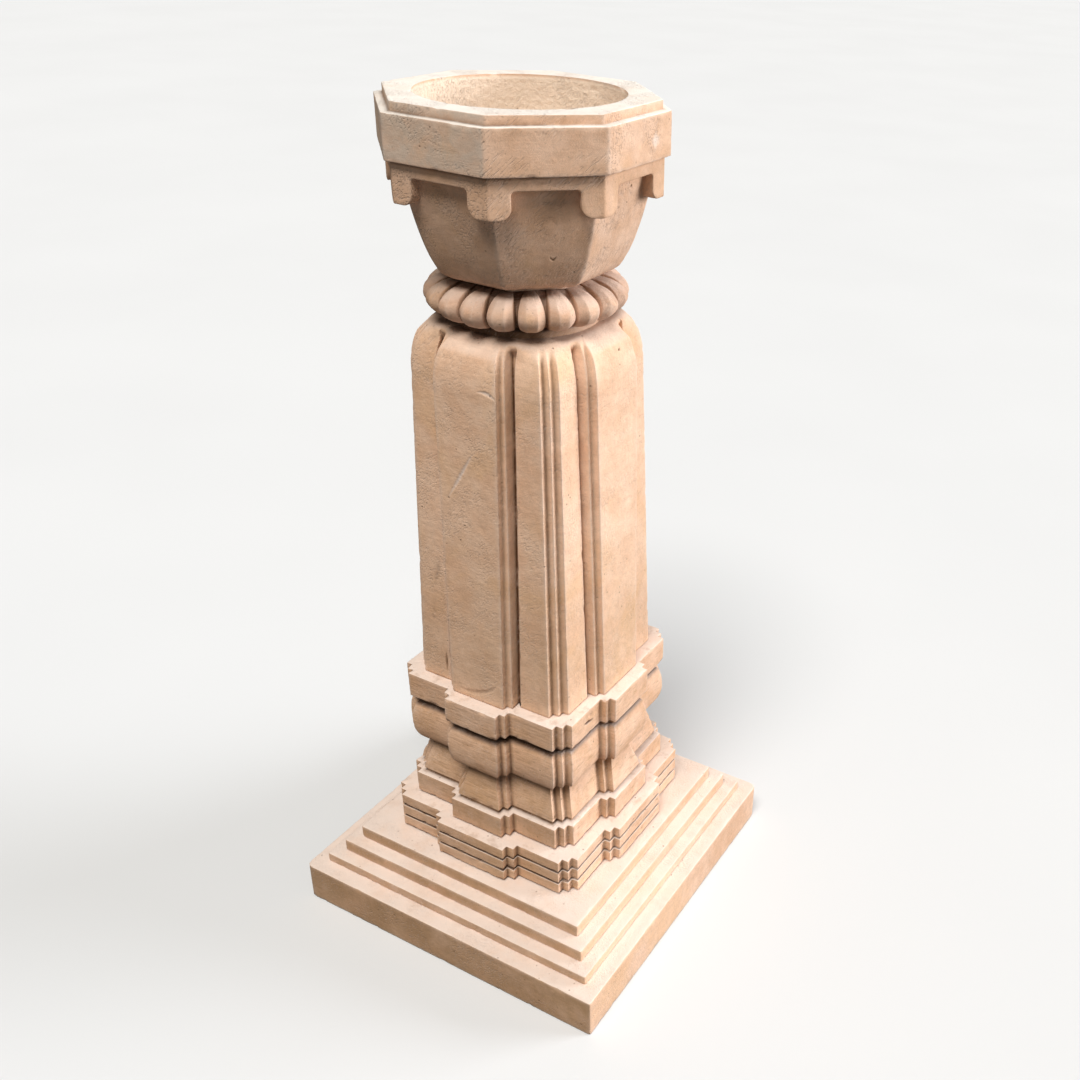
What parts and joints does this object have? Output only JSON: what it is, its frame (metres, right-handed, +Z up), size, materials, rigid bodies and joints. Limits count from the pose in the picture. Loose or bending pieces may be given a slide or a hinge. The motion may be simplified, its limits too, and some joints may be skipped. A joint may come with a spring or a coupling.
{
  "type": "tulsi vrindavan planter",
  "caption": "Carved sandstone pedestal planter: stepped square plinth, moulded re-entrant courses, tapering shaft, bead ring and octagonal bowl for a sacred basil plant.",
  "frame": {"origin": "on the ground at the middle of the square plinth", "axes": "+Z up along the planter's axis, X and Y square to the plinth's sides, -Y the left front face and +X the right front face in the picture"},
  "size_m": [0.395, 0.395, 0.9141],
  "materials": {
    "sandstone": "dressed, matt",
    "steel": "plain bar"
  },
  "bodies": {
    "pedestal": {"plinth_slab": "sandstone", "plinth_step_lower": "sandstone", "plinth_step_middle": "sandstone", "plinth_step_upper": "sandstone", "layered_course_lower": "sandstone", "layered_course_middle": "sandstone", "layered_course_upper": "sandstone", "splayed_course": "sandstone", "torus_course": "sandstone", "top_band_course": "sandstone", "shaft": "sandstone", "bead_ring": "sandstone", "core_rod": "steel", "bowl_dowel": "steel"},
    "planter_bowl": {"bowl": "sandstone"}
  },
  "joints": [
    {"name": "bowl_lift", "type": "slide", "parent": "pedestal", "child": "planter_bowl", "axis": [0, 0, 1], "range_m": [0, 0.06]}
  ]
}
